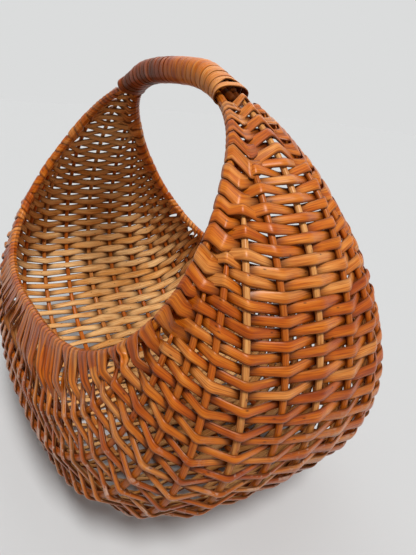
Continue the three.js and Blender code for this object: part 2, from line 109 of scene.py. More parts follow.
# How the skeins lie on the ribs. A pair is a range, low to high.
ROW_FILL_SHARE = 1.2
PINCH_SHARE = 0.14
EASE_LENGTH = 6.5 * MM
EASE_LIMIT = 0.35
CORNER_CUTS = 2
TILT = math.radians(6)
SKEIN_NARROWING = (0.9, 1.04)
FAR_WIDENING = 0.05
FAR_END_LOW_SHARE = 0.9
OPEN_END = (-0.06, 0.06)
OPEN_HEIGHT = (0.06, 0.2)

# How they lie between the last rib and a rim, and round the rim.
LEG_SHARE = 0.52
LEG_LIFT_SHARE = 0.55
LEG_STRAY_SHARE = 0.18
LEG_TWIST = math.radians(30)
LEG_NARROWING = (0.86, 1.02)
LOW_LEG_NARROWING = (0.25, 0.6)
QUARTER_TURN = math.pi / 2 - 0.02
HALF_TURN_STOPS = 5
QUARTER_TURN_STOPS = 3
THIN_LOW = (0.55, 0.9)
THIN_HIGH = (0.16, 0.3)

# How the binding lies round the handle, counted in loops from its far end.
BUNDLE_REACH = 1.1
LOOP_GAP = 0.08 * MM
LOOP_WANDER_STEPS = 14
LOOP_WANDER_SHARE = 0.16
LOOP_ROLL = math.radians(4)
SPLIT_LOOP = 22.5
SPLIT_LENGTH = 0.07
SPLIT_DEPTH = 0.95
FRAY_DEPTH = 0.5
END_CUT_SHARE = 0.25
END_CUT_LENGTH = 0.7

# The cross section of a skein, in shares of its thickness, and where it shows pith, wear or painted
# shade.
RIBBON_SIDES = 16
GROOVE_REACH = 0.01
GROOVE_DEPTH_SHARE = 0.85
# Painted shade along the groove between a pair of thin skeins.
GROOVE_SHADE = 0.8
BARK_DOME = 0.72
PITH_DOME = 0.4
PITH_FACING = (-0.1, 0.45)
CREST_HEIGHT = (0.5, 0.85)
CREST_FACING = (0, 0.5)
# Where painted shade lies in the crevices.
OPEN_FACING = (-0.3, 0.3)
OPEN_SHARE = (0.05, 0.45)

# How dark each piece took the stain: 0 is the first colour of its material, 1 the last.
HOOP_TONE = 0.5
CORE_TONE = 0.15
BROWN_RIB_TONES = (0.25, 0.75)
PALE_RIB_TONES = (0.25, 0.95)
PALE_RIBS = (0, -2)
PALE_HEIGHT = (0.09, 0.2)
# The binding's loops grow lighter away from its -X end.
LOOP_TONES = (0.16, 1.0)
LOOP_TONE_SPREAD = (-0.06, 0.08)
LIGHTENING_LOOPS = (0.25, 1)
SKEIN_TONES = (0.15, 0.9)
SKEIN_LENGTHS = (0.3, 0.7)
SKEINS_IN_STRAND = 13
TONE_GATHERING = 3
TONE_DRIFTS = ((0.05, 31), (0.04, 83))

# Seeds of the random draws, to which a strand or rib adds its own number.
BINDING_SEED = 5
RIB_SEED = 9
TONE_SEED = 100
STRAND_SEED = 300

# Real sizes of what the willow shows: length along a skein and width across it, or depth.
FIBRE_SIZE = (22 * MM, 0.65 * MM)
FIBRE_DEPTH = 0.35 * MM
BLOTCH_SIZE = (24 * MM, 5 * MM)
BLOTCH_DEPTH = 1.2 * MM
KNOT_SIZE = (15 * MM, 6.5 * MM)
SCUFF_SPACING = 7 * MM
GRAIN_SHIFT = 0.37

# How strongly stain, painted shade, knots and wear show, and the colours that aren't the user's.
# Brown of stain pooled at skein edges with painted shade there, and of painted shade in the
# crevices.
STAIN_AND_SHADE = "#4E2208"
KNOT_BROWN = "#2E1408"
GLOSS_TINT = "#F0A060"
MIDDLE_TONE = 0.65
BLOTCH_SHARE = 1.3
STREAK_SHARE = 0.72
STAIN_AND_SHADE_SHARE = 0.85
KNOT_RARITY = 0.78
SCUFF_TOP = 0.13
SCUFF_BOTTOM = 0.05
BUMP_STRENGTH = 0.6

# The gloss of bare and varnished willow.
PITH_ROUGHNESS = 0.68
FIBRE_ROUGHNESS = 0.16
SCUFF_ROUGHNESS = 0.3
VARNISH_ROUGHNESS = 0.3
VARNISH_IOR = 1.4
VARNISH_END = 0.6

# The stage: strengths, widths in degrees, and the ways that the lights come from.
FLOOR_SIZE = 6
DOME_STRENGTH = 0.28
LAMPS = (("daylight", 2.75, 18, (0.66, -0.12, 1.05)), ("fill", 0.5, 60, (-0.7, 0.5, 0.7)))
LENS = 30.49
SENSOR = 36
VIEW_PLACE = (0.31747, -0.17533, 0.2781)
VIEW_TURN = (68.64036, -5.03971, 57.1385)

# Settings of shader nodes that come up again and again.
MIX = {"data_type": "RGBA"}
DARKEN = {"data_type": "RGBA", "blend_type": "MULTIPLY"}
TIMES = {"operation": "MULTIPLY"}
TIMES_PLUS = {"operation": "MULTIPLY_ADD"}


def linear(code):
    """Turn an sRGB hex colour into linear numbers."""
    channels = [int(code[i : i + 2], 16) / 255 for i in (1, 3, 5)]
    return [c / 12.92 if c <= 0.04045 else ((c + 0.055) / 1.055) ** 2.4 for c in channels]


def length(name, description, millimetres):
    """A length property, given in millimetres and kept in metres."""
    return FloatProperty(
        name=name,
        description=description,
        default=millimetres * MM,
        min=0.0,
        precision=4,
        subtype="DISTANCE",
        unit="LENGTH",
    )


def quantity(name, description, number, least=1):
    """A property that counts pieces."""
    return IntProperty(name=name, description=description, default=number, min=least)


def colour(name, description, code):
    """A colour property, given as sRGB hex."""
    return FloatVectorProperty(
        name=name, description=description, default=linear(code), min=0.0, max=1.0, subtype="COLOR"
    )


class BasketSizes(bpy.types.PropertyGroup):
    """Sizes of the basket's form, rods and skeins."""

    crown_height: length("Crown height", "Top of the lengthwise middle line", 298)
    belly_reach: length("Belly reach", "Sideways scale of the middle line", 176)
    rim_step: length("Rim step", "How far the tops of the rims lie under the crown", 4.8)
    mouth_height: length("Mouth height", "Low points of the rims", 125.8)
    rim_reach: length("Rim reach", "Sideways scale of the rims", 133.5)
    mouth_half_width: length("Mouth half width", "Half the width between the rims", 105)
    settle_height: length("Settle height", "How far the bottom has flattened", 6)
    ground_cut: length("Ground cut", "Wear on the lowest crests", 0.5)
    hoop_radius: length("Hoop radius", "Radius of a rim hoop", 2.5)
    hoop_spread: length("Hoop spread", "Half the distance between the hoops in the handle", 2.9)
    hoop_dip: length("Hoop dip", "How far the hoops lie under the handle's middle", 3.7)
    bow_radius: length("Bow radius", "Radius of the handle's bow", 4.4)
    bow_end_radius: length("Bow end radius", "Radius of its pared ends", 2.2)
    bow_rise: length("Bow rise", "How far the bow lies above the handle's middle", 3.5)
    filler_radius: length("Filler radius", "Radius of the thin rods beside the bow", 1.7)
    filler_spread: length("Filler spread", "Their distance from the handle's middle", 6.3)
    filler_end_spread: length("Filler end spread", "The same where they tuck in at a shoulder", 2.3)
    rib_radius: length("Rib radius", "Half the thickness of a rib", 1.8)
    rib_tip_radius: length("Rib tip radius", "Half the thickness of a rib's tip", 0.9)
    rib_tip_length: length("Rib tip length", "Length of the taper of a rib", 14)
    rib_flat_length: length("Rib flat length", "Length over which a rib gets its full width", 300)
    rib_top_pitch: length("Rib top pitch", "Spacing of the ribs at the shoulder", 20.5)
    rib_sway: length("Rib sway", "How far the ribs lean below the right shoulder", 2.2)
    rib_tip_margin: length("Rib tip margin", "Room to the rim where a rib starts", 10.5)
    skein_width: length("Skein width", "Greatest width of a weaving skein", 7.0)
    low_skein_width: length("Low skein width", "The same near the bottom", 4.4)
    far_skein_width: length("Far skein width", "The same on the far side, which is denser", 12.5)
    skein_thickness: length("Skein thickness", "Thickness of a weaving skein", 1.9)
    skein_reach: length("Skein reach", "Room that a rib's skein takes on either side of it", 2.08)
    rest_gap: length("Rest gap", "Gap between a skein and the rod it lies on", 0.15)
    neighbour_gap: length("Neighbour gap", "Gap between skeins side by side", 0.15)
    rim_skein_width: length("Rim skein width", "Greatest width of a skein on a rim", 12)
    rim_skein_thickness: length("Rim skein thickness", "Thickness of a skein on a rim", 1.15)
    wrap_room: length("Binding room", "Room between the handle's rods and its packed binding", 0.4)
    wrap_thickness: length("Binding thickness", "Thickness of the handle's binding skein", 0.9)
    rib_flatness: FloatProperty(
        name="Rib flatness", description="Width of a rib over its thickness", default=1.4, min=1.0
    )
    ribs_each_side: quantity("Ribs each side", "Ribs on each side of the middle one", 6)
    strands_each_end: quantity("Strands each end", "Weaving strands for each end", 16)
    rows_per_strand: quantity("Rows per strand", "Rows that one strand covers", 4, least=2)
    wrap_loops: quantity("Binding loops", "Turns of the skein round the handle", 24)


class BasketColours(bpy.types.PropertyGroup):
    """Colours of the stained and varnished willow."""

    stain_deep: colour("Deep stain", "Skeins that took the stain darkest", "#AC4C0C")
    stain_red: colour("Red stain", "Reddish skeins", "#C86210")
    stain_honey: colour("Honey stain", "Most of the skeins", "#DE7E22")
    stain_gold: colour("Golden stain", "Skeins that took little stain", "#EEA256")
    # Darkest stain; the binding is darker towards its -X end.
    stain_darkest: colour("Darkest stain", "Darkest end of the binding, and the handle's rods", "#582808")
    pith_deep: colour("Deep pith", "Darkest inner faces", "#E6A456")
    pith_light: colour("Light pith", "Lightest inner faces", "#FFD89C")
    rib_brown: colour("Brown rib", "Most of the ribs", "#C06C20")
    rib_straw: colour("Straw rib", "The two pale ribs", "#E6A660")
    scuff: colour("Scuff", "Where the varnish has rubbed off", "#DCC6B4")
    floor: colour("Floor", "Floor, as pale as the backdrop once it is lit", "#D1D2D2")
    floor_bounce: colour("Floor bounce", "What the floor gives back to the basket", "#8C8884")
    backdrop: colour("Backdrop", "What the camera sees beyond the floor", "#DBDCDC")


def smoothstep(value, low, high):
    share = np.clip((np.asarray(value, float) - low) / (high - low), 0, 1)
    return share * share * (3 - 2 * share)


def blend(a, b, share):
    return a + (b - a) * share


def signed_power(value, power):
    return np.sign(value) * np.abs(value) ** power


def descent(angle):
    return (1 - np.cos(angle)) / 2


def unit(vectors):
    vectors = np.asarray(vectors, float)
    return vectors / np.linalg.norm(vectors, axis=-1, keepdims=True)


def square_to(vectors, axis):
    """The part of each vector that is square to its axis, at length one."""
    along = np.sum(vectors * axis, axis=-1, keepdims=True)
    return unit(vectors - along * axis)


def step_lengths(points):
    return np.linalg.norm(np.diff(points, axis=0), axis=-1)


def lengths_along(points):
    """How far along a line of points each one lies."""
    return np.concatenate([[0], np.cumsum(step_lengths(points))])


def step_at(point_at, angle):
    """A small step of a line, across the hoop angle given."""
    return point_at(angle + PROBE_ANGLE) - point_at(angle - PROBE_ANGLE)


class Form:
    """The lines of the basket, and where its ribs and rows lie on them."""

    def __init__(self, sizes):
        self.s = sizes
        self.lift = sizes.rib_radius + sizes.skein_reach - sizes.ground_cut
        self.rim_top = sizes.crown_height - sizes.rim_step
        self.rim_drop = self.rim_top - sizes.mouth_height
        self.body_middle = np.array([0, 0, sizes.crown_height * BODY_MIDDLE_SHARE])
        self.row_count = 2 * sizes.strands_each_end * sizes.rows_per_strand
        share = np.linspace(0, 1, SECTION_SAMPLES) ** SAMPLE_POWER
        bend = math.pi / 2 - share * (math.pi / 2 + TUCK_ANGLE)
        tuck = math.sin(TUCK_ANGLE) ** SECTION_POWER
        widest = math.cos(TUCK_ANGLE) ** SECTION_POWER
        self.across = signed_power(np.cos(bend), SECTION_POWER) / widest
        self.rise = (signed_power(np.sin(bend), SECTION_POWER) + tuck) / (1 + tuck)
        self.table_angles = np.linspace(0, FULL_TURN, LINE_SAMPLES)
        self.table_lengths = self.sections(self.table_angles)[1][:, -1]
        self.bottom_pitch = RIB_SPREAD_SHARE * self.section_length(math.pi) / sizes.ribs_each_side
        self.place_rows()
        self.place_ribs()

    def settle(self, height):
        flat = self.s.settle_height
        return np.cbrt(height**3 + flat**3) - flat + self.lift

    def middle_line(self, angle):
        spread = 1 - BELLY_SHARE * np.cos(angle)
        x = self.s.belly_reach * signed_power(np.sin(angle), BELLY_ROUNDNESS) * spread
        return np.stack([x, 0 * x, self.s.crown_height * (1 - descent(angle))], -1)

    def rim_line(self, angle):
        spread = 1 - RIM_BELLY_SHARE * np.cos(angle)
        x = self.s.rim_reach * signed_power(np.sin(angle), RIM_ROUNDNESS) * spread
        y = np.hypot(self.s.hoop_spread, self.s.mouth_half_width * descent(angle) ** SPLAY_POWER)
        return np.stack([x, y, self.rim_top - self.rim_drop * descent(angle)], -1)

    def sections(self, angle):
        """Points of the wall's section at each angle, from the middle to the rim, and lengths."""
        middle = self.middle_line(angle)[:, None, :]
        rim = self.rim_line(angle)[:, None, :]
        x = blend(rim[..., 0], middle[..., 0], self.rise)
        y = rim[..., 1] * self.across
        z = self.settle(blend(rim[..., 2], middle[..., 2], self.rise))
        points = np.stack([x, y, z], -1)
        steps = np.linalg.norm(np.diff(points, axis=1), axis=-1)
        lengths = np.concatenate([np.zeros((len(points), 1)), np.cumsum(steps, axis=1)], 1)
        return points, lengths

    def wall(self, angle, share):
        """Points of the wall at hoop angles and shares of the way to a rim."""
        angle, share = np.broadcast_arrays(np.asarray(angle, float), np.asarray(share, float))
        flat_angle, flat_share = angle.ravel(), share.ravel()
        points, lengths = self.sections(flat_angle)
        wanted = np.minimum(np.abs(flat_share), 1) * lengths[:, -1]
        i = np.clip((lengths < wanted[:, None]).sum(1), 1, lengths.shape[1] - 1)
        n = np.arange(len(i))
        before, after = lengths[n, i - 1], lengths[n, i]
        between = ((wanted - before) / (after - before))[:, None]
        found = blend(points[n, i - 1], points[n, i], between)
        found[:, 1] *= np.where(flat_share < 0, -1, 1)
        return found.reshape(angle.shape + (3,))

    def handle_frame(self, angle):
        """Middle line of the handle and its outward side."""
        centre = self.rim_line(angle) * (1, 0, 1)
        ahead = unit(step_at(self.rim_line, angle) * (1, 0, 1))
        centre[..., 2] = self.settle(centre[..., 2])
        return centre, np.stack([-ahead[..., 2], 0 * ahead[..., 0], ahead[..., 0]], -1)

    def hoop_dip_at(self, angle):
        return self.s.hoop_dip * (1 - smoothstep(np.abs(angle), DIP_START, DIP_END))

    def hoop(self, angle, rim=1):
        """Points of a rim hoop: the far one, or the near one with rim -1."""
        angle = np.asarray(angle, float)
        from_top = np.where(angle > math.pi, angle - FULL_TURN, angle)
        centre, outward = self.handle_frame(from_top)
        centre[..., 1] = rim * self.rim_line(angle)[..., 1]
        return centre - outward * self.hoop_dip_at(from_top)[..., None]

    def hoop_run(self, angle, rim=1):
        return unit(step_at(lambda a: self.hoop(a, rim), angle))

    def bow_radius_at(self, angle):
        share = smoothstep(np.abs(angle), BOW_PARE_START, BOW_END)
        return blend(self.s.bow_radius, self.s.bow_end_radius, share)

    def bow(self, angle):
        centre, outward = self.handle_frame(angle)
        shoulder = self.middle_line(angle)
        shoulder[..., 2] = self.settle(shoulder[..., 2])
        share = smoothstep(np.abs(angle), BOW_PARE_START, WEAVE_START)[..., None]
        return blend(centre + outward * self.s.bow_rise, shoulder, share)

    def place_rows(self):
        """Hoop angles of each row, from one before the first to one after the last."""
        rows = np.arange(-1, self.row_count + 1)
        share = (rows + 0.5) / self.row_count
        half = np.minimum(share, 1 - share) * 2
        middle = (MIDDLE_EVEN_SHARE * half + (1 - MIDDLE_EVEN_SHARE) * half**3) / 2
        middle = np.where(share < 0.5, middle, 1 - middle)
        rim_run = Spaced(self.hoop, RIM_WEAVE_START, FULL_TURN - RIM_WEAVE_START)
        middle_run = Spaced(lambda a: self.wall(a, 0), WEAVE_START, FULL_TURN - WEAVE_START)
        self.rim_pitch = rim_run.total / self.row_count
        self.rim_angle = rim_run.at(share)
        self.middle_angle = middle_run.at(middle)

    def rib_share(self, rib, angle):
        pitch = blend(self.s.rib_top_pitch, self.bottom_pitch, descent(angle))
        sway = smoothstep(angle, WEAVE_START, SWAY_START)
        sway = sway * (1 - smoothstep(angle, SWAY_START, SWAY_END))
        return (rib * pitch + self.s.rib_sway * sway) / self.section_length(angle)

    def place_ribs(self):
        """Where each row passes each rib, and the row on which each rib starts."""
        side = self.s.ribs_each_side
        self.ribs = np.arange(-side, side + 1)
        rib, middle, rim = self.ribs[None, :], self.middle_angle[:, None], self.rim_angle[:, None]
        angle = np.broadcast_to(middle, (len(self.middle_angle), len(self.ribs))).copy()
        for _ in range(CROSSING_TRIES):
            share = np.minimum(np.abs(self.rib_share(rib, angle)), 1)
            angle = blend(middle, rim, share**ROW_BOW)
        share = self.rib_share(rib, angle)
        self.pass_angle, self.pass_share = angle, share
        self.pass_point = self.wall(angle, share)
        on_rib = step_at(lambda a: self.rib_point(rib, a), angle)
        on_wall = step_at(lambda a: self.wall(a, share), angle)
        last = self.wall(angle, self.rib_share(np.abs(rib), angle))
        leg = self.hoop(self.rim_angle)[:, None] - last
        run = self.hoop_run(self.rim_angle)[:, None]
        leg = leg - np.sum(leg * run, -1, keepdims=True) * run
        outer = (np.abs(self.ribs) - 1) / (side - 1)
        margin = self.s.rib_tip_margin * blend(INNER_TIP_SHARE, 1, outer)
        room = np.linalg.norm(leg, axis=-1)[1:-1] >= margin
        self.first_row = np.where(self.ribs == 0, 0, room.argmax(axis=0))
        rows = np.arange(-1, self.row_count + 1)[:, None]
        self.crossed = (rows >= self.first_row) & (rows <= self.row_count - 1 - self.first_row)
        self.pass_run = unit(np.where(self.crossed[..., None], on_rib, on_wall))

    def rib_point(self, rib, angle):
        return self.wall(angle, self.rib_share(rib, angle))

    def rib_ends(self, rib):
        """Hoop angles between which a rib runs."""
        column = rib + self.s.ribs_each_side
        before, first = self.pass_angle[self.first_row[column] :, column][:2]
        start = blend(first, before, RIB_TIP_SHARE)
        return start, FULL_TURN - start

    def crosses(self, row, rib):
        return bool(self.crossed[row + 1, rib + self.s.ribs_each_side])

    def last_rib(self, row, rim):
        row = min(max(row, -1), self.row_count)
        rib = 0
        while abs(rib) < self.s.ribs_each_side and self.crosses(row, rib + rim):
            rib += rim
        return rib

    def rim_side(self, row, rim):
        """Side of a rim hoop that a row arrives on: 1 outside, -1 inside."""
        first = row if (row % 2 == 0) == (rim > 0) else row - 1
        side = -1 if (first + self.last_rib(first, rim)) % 2 == 0 else 1
        return side if row == first else -side

    def leg_point(self, row, rim, share):
        """A point of the wall between a row's last rib and the rim."""
        row = min(max(row, -1), self.row_count)
        column = self.last_rib(row, rim) + self.s.ribs_each_side
        angle = blend(self.pass_angle[row + 1, column], self.rim_angle[row + 1], share)
        return self.wall(angle, blend(self.pass_share[row + 1, column], rim, share))

    def leg_halves(self, row, rim, share):
        """Half widths of a row's leg towards the rows before and after it."""
        halves = []
        side = self.rim_side(row, rim)
        for step in (-1, 1):
            apart = 1
            while apart < NEIGHBOUR_ROWS and self.rim_side(row + apart * step, rim) != side:
                apart += 1
            step_out = self.leg_point(row + step, rim, share) - self.leg_point(row, rim, share)
            room = apart * np.linalg.norm(step_out) - self.s.neighbour_gap
            halves.append(min(room, self.s.rim_skein_width) / 2)
        return halves

    def thin_share(self, angle):
        """How far the turns on a rim are pairs of thin skeins: low down and beside the handle."""
        fall = descent(angle)
        return max(smoothstep(fall, *THIN_LOW), 1 - smoothstep(fall, *THIN_HIGH))

    def section_length(self, angle):
        return np.interp(angle, self.table_angles, self.table_lengths)

    def place(self, row, rib):
        column = rib + self.s.ribs_each_side
        return self.pass_point[row + 1, column], self.pass_run[row + 1, column]

    def outward_of(self, way, run, point):
        outward = unit(np.cross(run, way))
        return -outward if outward @ (point - self.body_middle) < 0 else outward


class Spaced:
    """A line by its length: shares of the length give hoop angles."""

    def __init__(self, point_at, start, end):
        self.angles = np.linspace(start, end, LINE_SAMPLES)
        self.lengths = lengths_along(point_at(self.angles))
        self.total = self.lengths[-1]

    def at(self, share):
        return np.interp(np.asarray(share) * self.total, self.lengths, self.angles)


# Each section of a strand is one line of numbers, so that lines can be blended.
CENTRE, BARK, RUN, OUTWARD = slice(0, 3), slice(3, 6), slice(6, 9), slice(9, 12)
BEFORE, AFTER, THICK, WALL, CREST, GROOVE = 12, 13, 14, 15, 16, 17


def section_line(centre, bark, run, outward, before, after, thick, wall, crest, groove=0.0):
    return np.concatenate([centre, bark, run, outward, [before, after, thick, wall, crest, groove]])


def eased(lines):
    """Round the corners of a run of sections, and narrow it between them."""
    lines = np.asarray(lines)
    kept = [lines[0]]
    for i, step in enumerate(step_lengths(lines[:, CENTRE])):
        share = min(EASE_LENGTH / step, EASE_LIMIT)
        for at in (share, 1 - share):
            between = blend(lines[i], lines[i + 1], at)
            between[BEFORE : AFTER + 1] *= 1 - PINCH_SHARE * between[WALL]
            kept.append(between)
        kept.append(lines[i + 1])
    out = np.array(kept)
    for _ in range(CORNER_CUTS):
        cuts = [blend(out[:-1], out[1:], share) for share in (0.25, 0.75)]
        middle = np.stack(cuts, 1).reshape(-1, out.shape[1])
        out = np.concatenate([out[:1], middle, out[-1:]])
    for part in (BARK, RUN, OUTWARD):
        out[:, part] = unit(out[:, part])
    return out


def lofted(name, rings, layers):
    """A closed mesh through rings of points, with vector and number attributes per point."""
    count, around = rings.shape[:2]
    bm = bmesh.new()
    bmesh.ops.create_grid(bm, x_segments=around, y_segments=count - 1, size=1)
    bm.verts.ensure_lookup_table()
    closed = np.concatenate([rings, rings[:, :1]], 1).reshape(-1, 3)
    for vert, point in zip(bm.verts, closed.tolist()):
        vert.co = point
    for layer_name, values in layers.items():
        shut = np.concatenate([values, values[:, :1]], 1)
        if shut.ndim == 3:
            layer, rows = bm.verts.layers.float_vector.new(layer_name), shut.reshape(-1, 3)
        else:
            layer, rows = bm.verts.layers.float.new(layer_name), shut.ravel()
        for vert, value in zip(bm.verts, rows.tolist()):
            vert[layer] = value
    width = around + 1
    seam = [bm.verts[i * width + j] for i in range(count) for j in (0, around)]
    bmesh.ops.remove_doubles(bm, verts=seam, dist=1e-7)
    open_edges = [edge for edge in bm.edges if edge.is_boundary]
    bmesh.ops.holes_fill(bm, edges=open_edges, sides=0)
    bmesh.ops.recalc_face_normals(bm, faces=bm.faces)
    mesh = bpy.data.meshes.new(name)
    bm.to_mesh(mesh)
    bm.free()
    mesh.shade_smooth()
    piece = bpy.data.objects.new(name, mesh)
    bpy.context.scene.collection.objects.link(piece)
    return piece


def finish_piece(piece, material, node):
    piece.data.materials.append(material)
    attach(piece, "root")
    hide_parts(node)


def ribbon(name, lines, tone, dome_power=0.85, edge_power=0.8, edge_width=4):
    """A split-willow skein through sections: domed on its bark side, flatter on its pith side."""
    turn = np.arange(RIBBON_SIDES) / RIBBON_SIDES * FULL_TURN
    across = signed_power(np.cos(turn), edge_power)
    over = signed_power(np.sin(turn), dome_power)
    half = np.where(across[None, :] > 0, lines[:, AFTER, None], lines[:, BEFORE, None])
    side = across[None, :] * half
    high = over * np.where(over > 0, BARK_DOME, PITH_DOME) * lines[:, THICK, None]
    groove = (np.abs(across) < GROOVE_REACH) * lines[:, GROOVE, None]
    high = high * (1 - GROOVE_DEPTH_SHARE * groove)
    rings = (
        lines[:, None, CENTRE]
        + side[..., None] * lines[:, None, RUN]
        + high[..., None] * lines[:, None, BARK]
    )
    rings[..., 2] = np.maximum(rings[..., 2], 0)
    along = lengths_along(lines[:, CENTRE])
    grain = np.stack([np.broadcast_to(along[:, None], side.shape), side, high], -1)
    facing = np.sin(turn)[None, :] * np.sum(lines[:, BARK] * lines[:, OUTWARD], -1)[:, None]
    # Painted shade on faces that lie against or under a rib, and on the binding's face towards its
    # rods.
    on_crest = lines[:, CREST, None]
    open_to = blend(1 - on_crest, on_crest, smoothstep(facing, *OPEN_FACING))
    layers = {
        "grain": grain,
        "inner": smoothstep(-facing, *PITH_FACING) * lines[:, WALL, None],
        "crest": smoothstep(on_crest, *CREST_HEIGHT) * smoothstep(facing, *CREST_FACING),
        "tone": np.broadcast_to(tone(along)[:, None], side.shape),
        # Darker edges: stain pooled there, with painted shade; the darker middle groove of a split
        # pair is painted shade.
        "edge": np.maximum(np.abs(across) ** edge_width, GROOVE_SHADE * groove),
        "grime": 1 - smoothstep(open_to, *OPEN_SHARE),
    }
    return lofted(name, rings, layers)


def rod(name, points, radius, tone, sides=14, wide=None, wide_side=None, seed=0):
    """A willow rod along points, round or wider along the sides given."""
    ahead = unit(np.gradient(points, axis=0))
    if wide_side is None:
        side = np.zeros_like(points)
        last = np.array([0, 1, 0], float)
        for i, way in enumerate(ahead):
            last = square_to(last, way)
            side[i] = last
    else:
        side = square_to(wide_side, ahead)
    top = np.cross(ahead, side)
    radius = np.broadcast_to(radius, len(points))
    wide = radius if wide is None else wide
    turn = np.arange(sides) / sides * FULL_TURN
    cos, sin = np.cos(turn)[None, :, None], np.sin(turn)[None, :, None]
    rings = (
        points[:, None]
        + cos * (wide[:, None] * side)[:, None]
        + sin * (radius[:, None] * top)[:, None]
    )
    flat = np.zeros(rings.shape[:2])
    along = flat + (lengths_along(points) + seed * GRAIN_SHIFT)[:, None]
    sideways, up = cos[..., 0] * wide[:, None], sin[..., 0] * radius[:, None]
    layers = dict.fromkeys(("grain", "inner", "crest", "tone", "edge", "grime"), flat)
    layers["grain"] = np.stack([along, sideways, up], -1)
    layers["tone"] = flat + np.broadcast_to(tone, len(points))[:, None]
    return lofted(name, rings, layers)


def add_node(tree, kind, settings=None, links=None):
    """Add a shader node with its settings and its links or values, and return its outputs."""
    node = tree.nodes.new("ShaderNode" + kind)
    for key, value in (settings or {}).items():
        if key == "stops":
            node.color_ramp.elements.remove(node.color_ramp.elements[1])
            node.color_ramp.elements[0].position = value[0][0]
            node.color_ramp.elements[0].color = (*value[0][1], 1)
            for position, shade in value[1:]:
                node.color_ramp.elements.new(position).color = (*shade, 1)
        else:
            setattr(node, key, value)
    for key, value in (links or {}).items():
        if isinstance(value, bpy.types.NodeSocket):
            tree.links.new(value, node.inputs[key])
        else:
            node.inputs[key].default_value = value
    return node.outputs


def grey(value):
    return (value, value, value)


